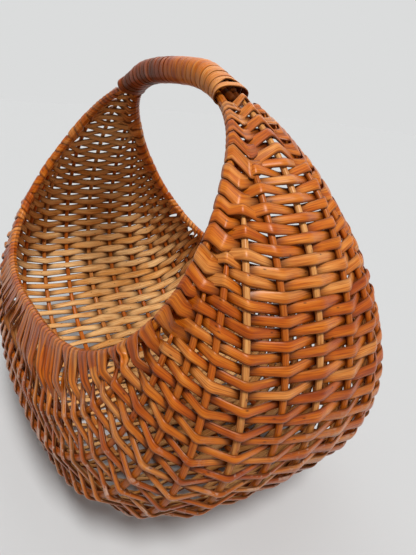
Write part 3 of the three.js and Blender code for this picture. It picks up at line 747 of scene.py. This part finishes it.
def willow_material(name, bark, pith, colours, gloss=0.3, coat=0.5):
    """Willow that was split or peeled, stained and varnished.

    The varnish gives the bark side a soft gloss over long fibres. The pith side is paler and dull.
    """
    material = bpy.data.materials.new(name)
    material.use_nodes = True
    tree = material.node_tree
    tree.nodes.clear()
    layers = {}
    for layer in ("tone", "inner", "edge", "crest", "grime"):
        layers[layer] = add_node(tree, "Attribute", {"attribute_name": layer})["Fac"]
    inner = layers["inner"]
    grain = add_node(tree, "Attribute", {"attribute_name": "grain"})["Vector"]
    place = add_node(tree, "TexCoord")["Object"]
    spaces = []
    for long, wide in (FIBRE_SIZE, BLOTCH_SIZE, KNOT_SIZE):
        links = {"Vector": grain, "Scale": (1 / long, 1 / wide, 1 / wide)}
        spaces.append(add_node(tree, "Mapping", links=links)["Vector"])

    # Fibres, drawn twice as wide as real ones so that they show.
    links = {"Vector": spaces[0], "Scale": 1.0, "Detail": 3.0, "Roughness": 0.6}
    fibre = add_node(tree, "TexNoise", links=links)["Fac"]
    # The stain took unevenly along each skein.
    links = {"Vector": spaces[1], "Scale": 1.0, "Detail": 2.0}
    blotch = add_node(tree, "TexNoise", links=links)["Fac"]
    lowered = add_node(tree, "Math", {"operation": "SUBTRACT"}, {0: layers["tone"], 1: MIDDLE_TONE})
    links = {0: blotch, 1: BLOTCH_SHARE, 2: lowered[0]}
    taken = add_node(tree, "Math", TIMES_PLUS, links)[0]
    bark_colour = add_node(tree, "ValToRGB", {"stops": bark}, {"Fac": taken})["Color"]
    pith_colour = add_node(tree, "ValToRGB", {"stops": pith}, {"Fac": taken})["Color"]
    links = {"Factor": inner, "A": bark_colour, "B": pith_colour}
    base = add_node(tree, "Mix", MIX, links)["Result"]

    # Long fibres, lighter and darker. The dark ones stay warm, as stain soaks into them.
    stops = [(0.36, linear("#B07C50")), (0.5, linear("#ECDCCC")), (0.62, linear("#FFFFFF"))]
    streak = add_node(tree, "ValToRGB", {"stops": stops}, {"Fac": fibre})["Color"]
    over = [(DARKEN, STREAK_SHARE, streak)]
    # Stain pools along the edges, darkened further there by painted shade, and painted shade lies
    # in the crevices beside the ribs.
    for layer in ("edge", "grime"):
        held = add_node(tree, "Math", TIMES, {0: layers[layer], 1: STAIN_AND_SHADE_SHARE})[0]
        over.append((DARKEN, held, (*linear(STAIN_AND_SHADE), 1)))

    # Small dark knots on a few patches of the grid.
    links = {"Vector": spaces[2], "Scale": 1.0}
    cells = add_node(tree, "TexVoronoi", {"voronoi_dimensions": "2D"}, links)
    stops = [(0.02, grey(0.8)), (0.09, grey(0.0))]
    spot = add_node(tree, "ValToRGB", {"stops": stops}, {"Fac": cells["Distance"]})["Color"]
    drawn = add_node(tree, "SeparateColor", links={"Color": cells["Color"]})["Red"]
    links = {0: drawn, 1: KNOT_RARITY}
    chosen = add_node(tree, "Math", {"operation": "GREATER_THAN"}, links)[0]
    knot = add_node(tree, "Math", TIMES, {0: spot, 1: chosen})[0]
    over.append((MIX, knot, (*linear(KNOT_BROWN), 1)))

    # The lowest crests are scuffed through to pale wood.
    height = add_node(tree, "SeparateXYZ", links={"Vector": place})["Z"]
    links = {"Value": height, "From Min": SCUFF_TOP, "From Max": SCUFF_BOTTOM}
    low = add_node(tree, "MapRange", links=links)["Result"]
    links = {"Vector": place, "Scale": 1 / SCUFF_SPACING, "Detail": 3.0, "Roughness": 0.7}
    rub = add_node(tree, "TexNoise", links=links)["Fac"]
    stops = [(0.53, grey(0.0)), (0.6, grey(0.7))]
    rubbed = add_node(tree, "ValToRGB", {"stops": stops}, {"Fac": rub})["Color"]
    worn = add_node(tree, "Math", TIMES, {0: low, 1: layers["crest"]})[0]
    worn = add_node(tree, "Math", TIMES, {0: worn, 1: rubbed})[0]
    over.append((MIX, worn, (*colours.scuff, 1)))
    for blending, share, shade in over:
        base = add_node(tree, "Mix", blending, {"Factor": share, "A": base, "B": shade})["Result"]

    # The pith is dull and has no varnish. Fibres and scuffs break the gloss of the bark.
    links = {"Value": inner, "To Min": gloss, "To Max": PITH_ROUGHNESS}
    rough = add_node(tree, "MapRange", links=links)["Result"]
    for pattern, share in ((fibre, FIBRE_ROUGHNESS), (worn, SCUFF_ROUGHNESS)):
        rough = add_node(tree, "Math", TIMES_PLUS, {0: pattern, 1: share, 2: rough})[0]
    links = {"Value": inner, "From Max": VARNISH_END, "To Min": coat, "To Max": 0.0}
    varnish = add_node(tree, "MapRange", links=links)["Result"]
    links = {"Strength": BUMP_STRENGTH, "Distance": FIBRE_DEPTH, "Height": fibre}
    bump = add_node(tree, "Bump", links=links)["Normal"]
    links = {"Strength": BUMP_STRENGTH, "Distance": BLOTCH_DEPTH, "Height": blotch, "Normal": bump}
    bump = add_node(tree, "Bump", links=links)["Normal"]
    shader = add_node(
        tree,
        "BsdfPrincipled",
        links={
            "Base Color": base,
            "Roughness": rough,
            "IOR": VARNISH_IOR,
            "Specular Tint": (*linear(GLOSS_TINT), 1),
            "Coat Weight": varnish,
            "Coat Roughness": VARNISH_ROUGHNESS,
            "Coat IOR": VARNISH_IOR,
            "Normal": bump,
        },
    )
    add_node(tree, "OutputMaterial", links={"Surface": shader["BSDF"]})
    return material


def skein_tones(seed):
    """Tones along a strand: a new skein starts every 300 to 700 mm."""
    rng = np.random.default_rng(TONE_SEED + seed)
    starts = np.cumsum(rng.uniform(*SKEIN_LENGTHS, SKEINS_IN_STRAND - 1))
    values = blend(*SKEIN_TONES, rng.beta(TONE_GATHERING, TONE_GATHERING, SKEINS_IN_STRAND))
    phases = rng.uniform(0, FULL_TURN, len(TONE_DRIFTS))

    def tone(along):
        picked = values[np.searchsorted(starts, along)]
        for (size, speed), phase in zip(TONE_DRIFTS, phases):
            picked = picked + size * np.sin(along * speed + phase)
        return picked

    return tone


def rib_name(rib):
    return "near_%d" % -rib if rib < 0 else "far_%d" % rib if rib > 0 else "middle"


class BASKET_OT_rim_hoops(bpy.types.Operator):
    """Bend the two rim hoops"""

    bl_idname = "basket.rim_hoops"
    bl_label = "Rim Hoops"

    def execute(self, context):
        form = Form(context.scene.basket_sizes)
        colours = context.scene.basket_colours
        stops = [(0, colours.rib_brown), (1, colours.stain_honey)]
        material = willow_material("peeled_willow_hoop", stops, stops, colours)
        line = Spaced(form.hoop, HOOP_JOIN, FULL_TURN - HOOP_JOIN)
        angles = line.at(np.linspace(0, 1, HOOP_SAMPLES))
        for name, rim in (("near", -1), ("far", 1)):
            points = form.hoop(angles, rim)
            piece = rod("hoop_rod_" + name, points, form.s.hoop_radius, HOOP_TONE, seed=rim)
            finish_piece(piece, material, "rim_hoop_" + name)
        return {"FINISHED"}


class BASKET_OT_handle_core(bpy.types.Operator):
    """Lay the bow and the two fillers of the handle"""

    bl_idname = "basket.handle_core"
    bl_label = "Handle Core"

    def execute(self, context):
        form = Form(context.scene.basket_sizes)
        colours = context.scene.basket_colours
        stops = [(0, colours.stain_darkest), (1, colours.rib_brown)]
        material = willow_material("peeled_willow_core", stops, stops, colours, gloss=0.5, coat=0.0)
        angles = Spaced(form.bow, -BOW_END, BOW_END).at(np.linspace(0, 1, BOW_SAMPLES))
        piece = rod("bow_rod", form.bow(angles), form.bow_radius_at(angles), CORE_TONE)
        finish_piece(piece, material, "handle_bow")
        for name, side in (("near", -1), ("far", 1)):

            def filler(angle, side=side):
                centre = form.handle_frame(angle)[0]
                tucked = smoothstep(np.abs(angle), *FILLER_CLOSING)
                spread = blend(form.s.filler_spread, form.s.filler_end_spread, tucked)
                centre[..., 1] = side * spread
                return centre

            angles = Spaced(filler, -FILLER_TUCK, FILLER_TUCK).at(np.linspace(0, 1, FILLER_SAMPLES))
            swell = smoothstep(np.abs(angles), FILLER_END, WRAP_END)
            radius = blend(form.s.filler_radius, form.s.filler_end_spread, swell)
            piece = rod("filler_rod_" + name, filler(angles), radius, CORE_TONE, sides=10)
            finish_piece(piece, material, "handle_filler_" + name)
        return {"FINISHED"}


class BASKET_OT_handle_binding(bpy.types.Operator):
    """Wind the binding skein round the handle"""

    bl_idname = "basket.handle_binding"
    bl_label = "Handle Binding"

    def execute(self, context):
        form = Form(context.scene.basket_sizes)
        sizes = form.s
        colours = context.scene.basket_colours
        count = sizes.wrap_loops * LOOP_SAMPLES
        table = np.linspace(-WRAP_END * BUNDLE_REACH, WRAP_END * BUNDLE_REACH, BUNDLE_SAMPLES)
        middle, wide, tall = self.bundle(form, table)
        line = Spaced(lambda a: form.handle_frame(a)[0], -WRAP_END, WRAP_END)

        def winding(i, height):
            beyond = np.clip(i / count, None, 0) + np.clip(i / count - 1, 0, None)
            angle = line.at(i / count) + beyond * 2 * WRAP_END
            centre, outward = form.handle_frame(angle)
            turn = i / LOOP_SAMPLES * FULL_TURN - math.pi / 2
            cos = signed_power(np.cos(turn), 2 / WRAP_POWER)
            sin = signed_power(np.sin(turn), 2 / WRAP_POWER)
            centre[..., 1] += (np.interp(angle, table, wide) + height) * cos
            rise = (np.interp(angle, table, tall) + height) * sin
            return centre + outward * (np.interp(angle, table, middle) + rise)[..., None]

        i = np.arange(0, count + 1, dtype=float)
        thick = sizes.wrap_thickness
        centre = winding(i, thick / 2)
        before, after = [winding(i + step, thick / 2) for step in (-LOOP_SAMPLES, LOOP_SAMPLES)]
        run = unit(after - before)
        bark = unit(winding(i, thick) - winding(i, 0.0))
        bark = square_to(bark, run)
        apart = [np.linalg.norm(step, axis=-1) for step in (after - centre, centre - before)]
        pitch = np.minimum(*apart)
        half = (pitch - LOOP_GAP) / 2
        rng = np.random.default_rng(BINDING_SEED)
        knots = np.arange(-LOOP_SAMPLES, count + 2 * LOOP_SAMPLES, LOOP_WANDER_STEPS)
        wander = rng.uniform(-LOOP_WANDER_SHARE, LOOP_WANDER_SHARE, len(knots))
        to_after = half + pitch * np.interp(i, knots, wander)
        to_before = half - pitch * np.interp(i - LOOP_SAMPLES, knots, wander)
        roll = np.interp(i, knots, rng.normal(0, LOOP_ROLL, len(knots)))[:, None]
        bark, run = unit(bark + run * roll), unit(run - bark * roll)
        loop = i / LOOP_SAMPLES
        from_end = np.minimum(i, count - i) / LOOP_SAMPLES
        cut = blend(END_CUT_SHARE, 1, smoothstep(from_end, 0, END_CUT_LENGTH))
        split = 1 - SPLIT_DEPTH * np.exp(-(((loop - SPLIT_LOOP) / SPLIT_LENGTH) ** 2))
        frayed = 1 - FRAY_DEPTH * np.exp(-(((loop - SPLIT_LOOP - 1) / SPLIT_LENGTH) ** 2))
        to_before *= frayed * np.where(i < count / 2, cut, 1)
        to_after *= split * np.where(i > count / 2, cut, 1)
        zero = np.zeros_like(half)
        # A crest of one paints shade on the binding's face towards its rods.
        numbers = np.stack([to_before, to_after, zero + thick, zero, zero + 1, zero], -1)
        lines = np.concatenate([centre, bark, run, bark, numbers], -1)
        lightening = smoothstep(np.linspace(0, 1, sizes.wrap_loops + 2), *LIGHTENING_LOOPS)
        loop_tones = blend(*LOOP_TONES, lightening)
        loop_tones += rng.uniform(*LOOP_TONE_SPREAD, len(loop_tones))
        loops = np.arange(len(loop_tones)) / sizes.wrap_loops

        def tone(along):
            return np.interp(along / along[-1], loops, loop_tones)

        # Flatter and squarer than a weaving skein, and its pooled stain and painted edge shade stay
        # close to its edges.
        flat = {"dome_power": 0.22, "edge_power": 0.45, "edge_width": 14}
        piece = ribbon("binding_skein", lines, tone, **flat)
        stops = [
            (0, colours.stain_darkest),
            (0.35, colours.stain_deep),
            (0.65, colours.stain_honey),
            (1, colours.stain_gold),
        ]
        worn = {"gloss": 0.34, "coat": 0.08}
        material = willow_material("varnished_binding_skein", stops, stops, colours, **worn)
        finish_piece(piece, material, "handle_wrap")
        return {"FINISHED"}

    def bundle(self, form, angle):
        """Middle height, half width and half height of the bundle of rods at each angle."""
        sizes = form.s
        centre, outward = form.handle_frame(angle)
        bow_out = np.sum((form.bow(angle) - centre) * outward, -1)
        zero = np.zeros_like(angle)
        rods = [
            (form.rim_line(angle)[..., 1], -form.hoop_dip_at(angle), zero + sizes.hoop_radius),
            (zero, bow_out, form.bow_radius_at(angle)),
            (zero + sizes.filler_spread, zero, zero + sizes.filler_radius),
        ]
        top = np.max([out + radius for _, out, radius in rods], 0)
        bottom = np.min([out - radius for _, out, radius in rods], 0)
        wide = np.max([y + radius for y, _, radius in rods], 0)
        middle, tall = (top + bottom) / 2, (top - bottom) / 2
        reach = zero
        for y, out, radius in rods:
            for turn in np.linspace(0, FULL_TURN, ROD_OUTLINE_SAMPLES):
                a = np.abs(y + radius * math.cos(turn)) / wide
                b = np.abs(out + radius * math.sin(turn) - middle) / tall
                reach = np.maximum(reach, (a**WRAP_POWER + b**WRAP_POWER) ** (1 / WRAP_POWER))
        return middle, wide * reach + sizes.wrap_room, tall * reach + sizes.wrap_room


class BASKET_OT_ribs(bpy.types.Operator):
    """Run the ribs from shoulder to shoulder"""

    bl_idname = "basket.ribs"
    bl_label = "Ribs"

    def execute(self, context):
        form = Form(context.scene.basket_sizes)
        sizes = form.s
        colours = context.scene.basket_colours
        brown = [(0, colours.stain_deep), (0.5, colours.rib_brown), (1, colours.stain_red)]
        straw = [(0, colours.rib_brown), (0.85, colours.rib_straw)]
        brown_material = willow_material("peeled_willow_rib", brown, brown, colours, gloss=0.4)
        straw_material = willow_material("straw_willow_rib", straw, straw, colours, gloss=0.42)
        for rib in form.ribs:
            start, end = form.rib_ends(rib)
            line = Spaced(lambda a, rib=rib: form.rib_point(rib, a), start, end)
            share = np.linspace(0, 1, max(RIB_LEAST_SAMPLES, int(line.total / RIB_STEP)))
            angles = line.at(share)
            points = form.rib_point(rib, angles)
            on = form.rib_share(rib, angles)
            wide_side = form.wall(angles, on + PROBE_SHARE) - form.wall(angles, on - PROBE_SHARE)
            from_tip = np.minimum(share, 1 - share) * line.total
            taper = np.minimum(from_tip / sizes.rib_tip_length, 1)
            radius = blend(sizes.rib_tip_radius, sizes.rib_radius, taper)
            flatness = blend(1, sizes.rib_flatness, np.minimum(from_tip / sizes.rib_flat_length, 1))
            # The pale ribs darken towards the bottom. The others differ from one to the next.
            pale = rib in PALE_RIBS
            toned = smoothstep(points[:, 2], *PALE_HEIGHT) if pale else rib * 7 % 5 / 4
            tone = blend(*(PALE_RIB_TONES if pale else BROWN_RIB_TONES), toned)
            piece = rod(
                "rib_rod_" + rib_name(rib),
                points,
                radius,
                tone,
                sides=12,
                wide=radius * flatness,
                wide_side=wide_side,
                seed=RIB_SEED + int(rib),
            )
            material = straw_material if pale else brown_material
            finish_piece(piece, material, "rib_" + rib_name(rib))
        return {"FINISHED"}


class BASKET_OT_weave(bpy.types.Operator):
    """Weave the strands over and under the ribs and round the rims"""

    bl_idname = "basket.weave"
    bl_label = "Weave"

    def execute(self, context):
        form = Form(context.scene.basket_sizes)
        colours = context.scene.basket_colours
        bark = [
            (0, colours.stain_deep),
            (0.25, colours.stain_red),
            (0.55, colours.stain_honey),
            (0.95, colours.stain_gold),
        ]
        pith = [(0, colours.pith_deep), (1, colours.pith_light)]
        material = willow_material("varnished_split_willow", bark, pith, colours)
        for strand in range(2 * form.s.strands_each_end):
            lines = eased(self.strand(form, strand))
            name = "%02d" % (strand + 1)
            piece = ribbon("skein_" + name, lines, skein_tones(strand))
            finish_piece(piece, material, "weaver_" + name)
        return {"FINISHED"}

    def strand(self, form, strand):
        """The sections of a strand, row after row with a turn round a rim between them."""
        rng = np.random.default_rng(STRAND_SEED + strand)
        rows = form.s.rows_per_strand
        first_row = strand * rows
        ridge = 1
        lines = self.turn(form, first_row - 1, -1, math.pi - QUARTER_TURN, math.pi, -ridge)
        for i in range(rows):
            row = first_row + i
            rim = 1 if i % 2 == 0 else -1
            first, last = form.last_rib(row, -rim), form.last_rib(row, rim)
            lines.append(self.leg(form, row, -rim, ridge, rng))
            for rib in range(first, last + rim, rim):
                lines.append(self.passing(form, row, rib, ridge, rng))
            lines.append(self.leg(form, row, rim, ridge, rng))
            end = QUARTER_TURN if i == rows - 1 else math.pi
            lines += self.turn(form, row, rim, 0, end, ridge)
            ridge = -ridge
        return lines

    def passing(self, form, row, rib, ridge, rng):
        """Where a row passes over or under a rib."""
        sizes = form.s
        point, run = form.place(row, rib)
        ways = []
        for step in (-1, 1):
            at_rim = rib == form.last_rib(row, step)
            there = form.leg_point(row, step, 1) if at_rim else form.place(row, rib + step)[0]
            ways.append(unit(there - point) * step)
        way = unit(ways[0] + ways[1])
        outward = form.outward_of(way, run, point)
        side = 1 if (row + rib) % 2 == 0 else -1
        slack = 1 / max(LEAST_SLACK_SHARE, float(way @ ways[1]))
        thick = sizes.skein_thickness
        off = side * ((sizes.rib_radius + sizes.rest_gap) * slack + thick / 2)
        narrow = rng.uniform(*SKEIN_NARROWING)
        if rib < 0:
            # The near wall is more open towards +X, and its low rows are thinner.
            open_end = smoothstep(point[0], *OPEN_END)
            upper = blend(sizes.far_skein_width, sizes.skein_width, open_end)
            lower = blend(sizes.skein_width * FAR_END_LOW_SHARE, sizes.low_skein_width, open_end)
            widest = blend(lower, upper, smoothstep(point[2], *OPEN_HEIGHT))
        else:
            widest = sizes.far_skein_width
            narrow += FAR_WIDENING
        halves = []
        for step in (-1, 1):
            pitch = np.linalg.norm(form.place(row + step, rib)[0] - point)
            halves.append(min(widest, pitch * ROW_FILL_SHARE) / 2 * narrow)
        bark, run = self.tilted(outward, run, rng.normal(0, TILT))
        # Crests over a rib can scuff; a section under a rib gets painted shade on its outer face.
        crest = 1.0 if side > 0 else 0.0
        point = point + outward * off
        return section_line(point, bark * ridge, run, outward, *halves, thick, 1.0, crest)

    def leg(self, form, row, rim, ridge, rng):
        """The middle of a row's leg between its last rib and the rim."""
        sizes = form.s
        point = form.leg_point(row, rim, LEG_SHARE)
        way = unit(form.leg_point(row, rim, 1) - form.leg_point(row, rim, 0)) * rim
        run = square_to(form.hoop_run(form.rim_angle[row + 1], rim), way)
        outward = form.outward_of(way, run, point)
        lift = (sizes.hoop_radius + sizes.rest_gap + sizes.rim_skein_thickness) * LEG_LIFT_SHARE
        lift = lift * form.rim_side(row, rim)
        low = smoothstep(descent(form.rim_angle[row + 1]), *THIN_LOW)
        thin = form.thin_share(form.rim_angle[row + 1])
        narrow = rng.uniform(*LEG_NARROWING) * (1 - low * rng.uniform(*LOW_LEG_NARROWING))
        point = point + run * low * rng.normal(0, LEG_STRAY_SHARE) * sizes.rim_skein_width
        bark, run = self.tilted(outward, run, rng.normal(0, TILT) + low * rng.normal(0, LEG_TWIST))
        thick = (sizes.skein_thickness + sizes.rim_skein_thickness) / 2
        halves = [half * narrow for half in form.leg_halves(row, rim, LEG_SHARE)]
        point = point + outward * lift
        return section_line(point, bark * ridge, run, outward, *halves, thick, 0.5, 0.5, thin)

    def tilted(self, bark, run, angle):
        """Roll a section about the strand's own line."""
        cos, sin = math.cos(angle), math.sin(angle)
        return bark * cos + run * sin, run * cos - bark * sin

    def turn(self, form, row, rim, start, end, ridge):
        """A strand's turn round a rim, from a row to the next one."""
        sizes = form.s
        side = form.rim_side(row, rim)
        half_turn = end - start > math.pi / 2
        stops = np.linspace(start, end, HALF_TURN_STOPS if half_turn else QUARTER_TURN_STOPS)
        middle = (form.leg_point(row, rim, 0) + form.leg_point(row + 1, rim, 0)) / 2
        thick = sizes.rim_skein_thickness
        reach = sizes.hoop_radius + sizes.rest_gap + thick / 2
        top = form.rim_pitch - sizes.neighbour_gap / 2
        thin = form.thin_share(form.rim_angle[row + 1])
        lines = []
        for stop in stops:
            angle = blend(form.rim_angle[row + 1], form.rim_angle[row + 2], stop / math.pi)
            point, run = form.hoop(angle, rim), form.hoop_run(angle, rim)
            away = square_to(point - middle, run)
            outward = form.outward_of(away, run, point)
            spoke = outward * side * math.cos(stop) + away * math.sin(stop)
            legs = form.leg_halves(row if stop < math.pi / 2 else row + 1, rim, 1)
            halves = [blend(half, top, math.sin(stop)) for half in legs]
            bark = spoke * ridge * side
            point = point + spoke * reach
            lines.append(section_line(point, bark, run, outward, *halves, thick, 0.0, 0.5, thin))
        return lines


class BASKET_OT_stage(bpy.types.Operator):
    """Set the floor, the backdrop, the light and the camera"""

    bl_idname = "basket.stage"
    bl_label = "Stage"

    def execute(self, context):
        scene = context.scene
        colours = scene.basket_colours
        bm = bmesh.new()
        bmesh.ops.create_grid(bm, x_segments=1, y_segments=1, size=FLOOR_SIZE)
        mesh = bpy.data.meshes.new("floor")
        bm.to_mesh(mesh)
        bm.free()
        floor = bpy.data.objects.new("floor", mesh)
        scene.collection.objects.link(floor)
        material = bpy.data.materials.new("matt_floor")
        material.use_nodes = True
        tree = material.node_tree
        tree.nodes.clear()
        # Seen pale, while what bounces up from it on the basket is that of a grey floor.
        direct = self.direct_rays(tree)
        links = {"Factor": direct, "A": (*colours.floor_bounce, 1), "B": (*colours.floor, 1)}
        seen = add_node(tree, "Mix", MIX, links)["Result"]
        links = {"Base Color": seen, "Roughness": 1.0, "Specular IOR Level": 0.0}
        shader = add_node(tree, "BsdfPrincipled", links=links)
        add_node(tree, "OutputMaterial", links={"Surface": shader["BSDF"]})
        floor.data.materials.append(material)

        world = bpy.data.worlds.new("studio")
        world.use_nodes = True
        world.node_tree.nodes.clear()
        tree = world.node_tree
        links = {"Color": (1, 1, 1, 1), "Strength": DOME_STRENGTH}
        light = add_node(tree, "Background", links=links)
        links = {"Color": (*colours.backdrop, 1), "Strength": 1.0}
        shown = add_node(tree, "Background", links=links)
        links = {"Fac": self.direct_rays(tree), 1: light[0], 2: shown[0]}
        mixed = add_node(tree, "MixShader", links=links)
        add_node(tree, "OutputWorld", links={"Surface": mixed[0]})
        scene.world = world

        # One broad light from high up on the +X side, and a weak soft one from behind.
        for name, energy, width, way in LAMPS:
            data = bpy.data.lights.new(name, "SUN")
            data.energy = energy
            data.angle = math.radians(width)
            lamp = bpy.data.objects.new(name, data)
            lamp.rotation_euler = Vector(way).to_track_quat("Z", "Y").to_euler()
            scene.collection.objects.link(lamp)

        camera = bpy.data.cameras.new("camera")
        camera.sensor_fit = "VERTICAL"
        camera.sensor_height = SENSOR
        camera.sensor_width = SENSOR
        camera.lens = LENS
        camera.clip_start = 0.01
        view = bpy.data.objects.new("camera", camera)
        view.location = VIEW_PLACE
        view.rotation_euler = Euler([math.radians(angle) for angle in VIEW_TURN])
        scene.collection.objects.link(view)
        scene.camera = view
        scene.view_settings.view_transform = "Standard"
        return {"FINISHED"}

    def direct_rays(self, tree):
        """One where a ray shows the background: seen, mirrored or through something clear."""
        rays = add_node(tree, "LightPath")
        total = rays["Is Camera Ray"]
        for kind in ("Is Glossy Ray", "Is Transmission Ray"):
            adding = {"operation": "ADD", "use_clamp": True}
            total = add_node(tree, "Math", adding, {0: total, 1: rays[kind]})[0]
        return total


class BASKET_PT_panel(bpy.types.Panel):
    """The basket's steps in the sidebar"""

    bl_idname = "BASKET_PT_panel"
    bl_label = "Basket"
    bl_space_type = "VIEW_3D"
    bl_region_type = "UI"
    bl_category = "Basket"

    def draw(self, context):
        for step in STEPS:
            self.layout.operator(step.bl_idname)
        for group in (context.scene.basket_sizes, context.scene.basket_colours):
            for key in group.__annotations__:
                self.layout.prop(group, key)


STEPS = (
    BASKET_OT_stage,
    BASKET_OT_rim_hoops,
    BASKET_OT_handle_core,
    BASKET_OT_handle_binding,
    BASKET_OT_ribs,
    BASKET_OT_weave,
)
CLASSES = (BasketSizes, BasketColours, *STEPS, BASKET_PT_panel)


def register():
    for each in CLASSES:
        bpy.utils.register_class(each)
    bpy.types.Scene.basket_sizes = PointerProperty(type=BasketSizes)
    bpy.types.Scene.basket_colours = PointerProperty(type=BasketColours)


def unregister():
    del bpy.types.Scene.basket_colours
    del bpy.types.Scene.basket_sizes
    for each in reversed(CLASSES):
        bpy.utils.unregister_class(each)


def main():
    register()
    bpy.ops.basket.stage()
    bpy.ops.basket.rim_hoops()
    bpy.ops.basket.handle_core()
    bpy.ops.basket.handle_binding()
    bpy.ops.basket.ribs()
    bpy.ops.basket.weave()


if __name__ == "__main__":
    main()
